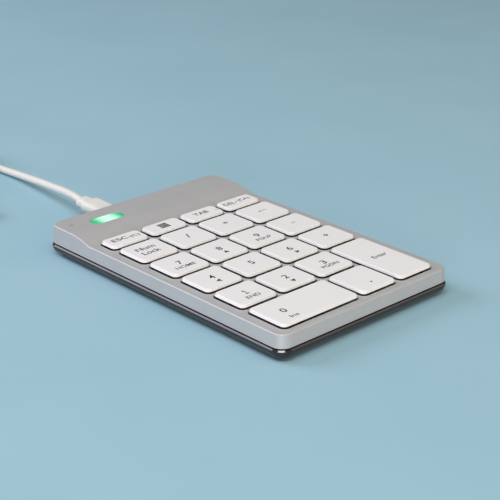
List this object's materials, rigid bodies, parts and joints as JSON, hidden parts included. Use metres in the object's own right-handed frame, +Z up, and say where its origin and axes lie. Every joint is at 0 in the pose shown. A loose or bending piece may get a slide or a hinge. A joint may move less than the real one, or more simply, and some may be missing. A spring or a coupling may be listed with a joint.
{
  "type": "numeric keypad",
  "caption": "Compact desktop numeric keypad with low scissor keys, a silver top shell with a raised rear end, a dark bottom tray and a detachable white USB lead.",
  "frame": {"origin": "centre of the case's footprint, on the desk under the rubber feet", "axes": "+X to the right of a person facing the keys, +Y to the rear where the lead leaves, +Z up, along which the keys travel"},
  "size_m": [0.0919, 0.2646, 0.012],
  "materials": {
    "keycap": "fine matt moulded plastic with dark grey legends",
    "shell": "silver-grey satin metallic paint on moulded plastic",
    "tray": "dark brown-black gloss",
    "lead": "off-white soft satin jacket",
    "support": "dark grey acetal",
    "silicone": "dark matt silicone",
    "membrane": "dark film with printed tracks",
    "board": "green solder mask",
    "window": "lit translucent window, pale in the middle and green towards its ends",
    "indicator": "smoked lens",
    "foot": "matt black rubber",
    "steel": "plain rolled and tinned steel"
  },
  "bodies": {
    "case": {"top_shell": "shell", "bottom_tray": "tray", "foot_strip_front": "foot", "foot_strip_rear": "foot", "key_plate": "steel", "membrane_sheet": "membrane", "dome_sheet": "silicone", "controller_board": "board", "usb_socket": "steel", "light_window": "window", "indicator_lens": "indicator", "usb_c_plug": "lead", "cable": "lead", "cable_coil": "lead", "cable_tail": "lead", "usb_a_plug": "lead", "scissor_0": "support", "scissor_dot": "support", "scissor_enter": "support", "scissor_1": "support", "scissor_2": "support", "scissor_3": "support", "scissor_4": "support", "scissor_5": "support", "scissor_6": "support", "scissor_plus": "support", "scissor_7": "support", "scissor_8": "support", "scissor_9": "support", "scissor_minus": "support", "scissor_num_lock": "support", "scissor_divide": "support", "scissor_multiply": "support", "scissor_backspace": "support", "scissor_escape": "support", "scissor_calculator": "support", "scissor_tab": "support", "scissor_delete": "support"},
    "key_0": {"cap_0": "keycap"},
    "key_dot": {"cap_dot": "keycap"},
    "key_enter": {"cap_enter": "keycap"},
    "key_1": {"cap_1": "keycap"},
    "key_2": {"cap_2": "keycap"},
    "key_3": {"cap_3": "keycap"},
    "key_4": {"cap_4": "keycap"},
    "key_5": {"cap_5": "keycap"},
    "key_6": {"cap_6": "keycap"},
    "key_plus": {"cap_plus": "keycap"},
    "key_7": {"cap_7": "keycap"},
    "key_8": {"cap_8": "keycap"},
    "key_9": {"cap_9": "keycap"},
    "key_minus": {"cap_minus": "keycap"},
    "key_num_lock": {"cap_num_lock": "keycap"},
    "key_divide": {"cap_divide": "keycap"},
    "key_multiply": {"cap_multiply": "keycap"},
    "key_backspace": {"cap_backspace": "keycap"},
    "key_escape": {"cap_escape": "keycap"},
    "key_calculator": {"cap_calculator": "keycap"},
    "key_tab": {"cap_tab": "keycap"},
    "key_delete": {"cap_delete": "keycap"}
  },
  "joints": [
    {"name": "press_0", "type": "slide", "parent": "case", "child": "key_0", "axis": [0, 0, -1], "range_m": [0, 0.0014], "stiffness_N_per_m": 300, "deforming": ["scissor_0"]},
    {"name": "press_dot", "type": "slide", "parent": "case", "child": "key_dot", "axis": [0, 0, -1], "range_m": [0, 0.0014], "stiffness_N_per_m": 300, "deforming": ["scissor_dot"]},
    {"name": "press_enter", "type": "slide", "parent": "case", "child": "key_enter", "axis": [0, 0, -1], "range_m": [0, 0.0014], "stiffness_N_per_m": 300, "deforming": ["scissor_enter"]},
    {"name": "press_1", "type": "slide", "parent": "case", "child": "key_1", "axis": [0, 0, -1], "range_m": [0, 0.0014], "stiffness_N_per_m": 300, "deforming": ["scissor_1"]},
    {"name": "press_2", "type": "slide", "parent": "case", "child": "key_2", "axis": [0, 0, -1], "range_m": [0, 0.0014], "stiffness_N_per_m": 300, "deforming": ["scissor_2"]},
    {"name": "press_3", "type": "slide", "parent": "case", "child": "key_3", "axis": [0, 0, -1], "range_m": [0, 0.0014], "stiffness_N_per_m": 300, "deforming": ["scissor_3"]},
    {"name": "press_4", "type": "slide", "parent": "case", "child": "key_4", "axis": [0, 0, -1], "range_m": [0, 0.0014], "stiffness_N_per_m": 300, "deforming": ["scissor_4"]},
    {"name": "press_5", "type": "slide", "parent": "case", "child": "key_5", "axis": [0, 0, -1], "range_m": [0, 0.0014], "stiffness_N_per_m": 300, "deforming": ["scissor_5"]},
    {"name": "press_6", "type": "slide", "parent": "case", "child": "key_6", "axis": [0, 0, -1], "range_m": [0, 0.0014], "stiffness_N_per_m": 300, "deforming": ["scissor_6"]},
    {"name": "press_plus", "type": "slide", "parent": "case", "child": "key_plus", "axis": [0, 0, -1], "range_m": [0, 0.0014], "stiffness_N_per_m": 300, "deforming": ["scissor_plus"]},
    {"name": "press_7", "type": "slide", "parent": "case", "child": "key_7", "axis": [0, 0, -1], "range_m": [0, 0.0014], "stiffness_N_per_m": 300, "deforming": ["scissor_7"]},
    {"name": "press_8", "type": "slide", "parent": "case", "child": "key_8", "axis": [0, 0, -1], "range_m": [0, 0.0014], "stiffness_N_per_m": 300, "deforming": ["scissor_8"]},
    {"name": "press_9", "type": "slide", "parent": "case", "child": "key_9", "axis": [0, 0, -1], "range_m": [0, 0.0014], "stiffness_N_per_m": 300, "deforming": ["scissor_9"]},
    {"name": "press_minus", "type": "slide", "parent": "case", "child": "key_minus", "axis": [0, 0, -1], "range_m": [0, 0.0014], "stiffness_N_per_m": 300, "deforming": ["scissor_minus"]},
    {"name": "press_num_lock", "type": "slide", "parent": "case", "child": "key_num_lock", "axis": [0, 0, -1], "range_m": [0, 0.0014], "stiffness_N_per_m": 300, "deforming": ["scissor_num_lock"]},
    {"name": "press_divide", "type": "slide", "parent": "case", "child": "key_divide", "axis": [0, 0, -1], "range_m": [0, 0.0014], "stiffness_N_per_m": 300, "deforming": ["scissor_divide"]},
    {"name": "press_multiply", "type": "slide", "parent": "case", "child": "key_multiply", "axis": [0, 0, -1], "range_m": [0, 0.0014], "stiffness_N_per_m": 300, "deforming": ["scissor_multiply"]},
    {"name": "press_backspace", "type": "slide", "parent": "case", "child": "key_backspace", "axis": [0, 0, -1], "range_m": [0, 0.0014], "stiffness_N_per_m": 300, "deforming": ["scissor_backspace"]},
    {"name": "press_escape", "type": "slide", "parent": "case", "child": "key_escape", "axis": [0, 0, -1], "range_m": [0, 0.0014], "stiffness_N_per_m": 300, "deforming": ["scissor_escape"]},
    {"name": "press_calculator", "type": "slide", "parent": "case", "child": "key_calculator", "axis": [0, 0, -1], "range_m": [0, 0.0014], "stiffness_N_per_m": 300, "deforming": ["scissor_calculator"]},
    {"name": "press_tab", "type": "slide", "parent": "case", "child": "key_tab", "axis": [0, 0, -1], "range_m": [0, 0.0014], "stiffness_N_per_m": 300, "deforming": ["scissor_tab"]},
    {"name": "press_delete", "type": "slide", "parent": "case", "child": "key_delete", "axis": [0, 0, -1], "range_m": [0, 0.0014], "stiffness_N_per_m": 300, "deforming": ["scissor_delete"]}
  ]
}
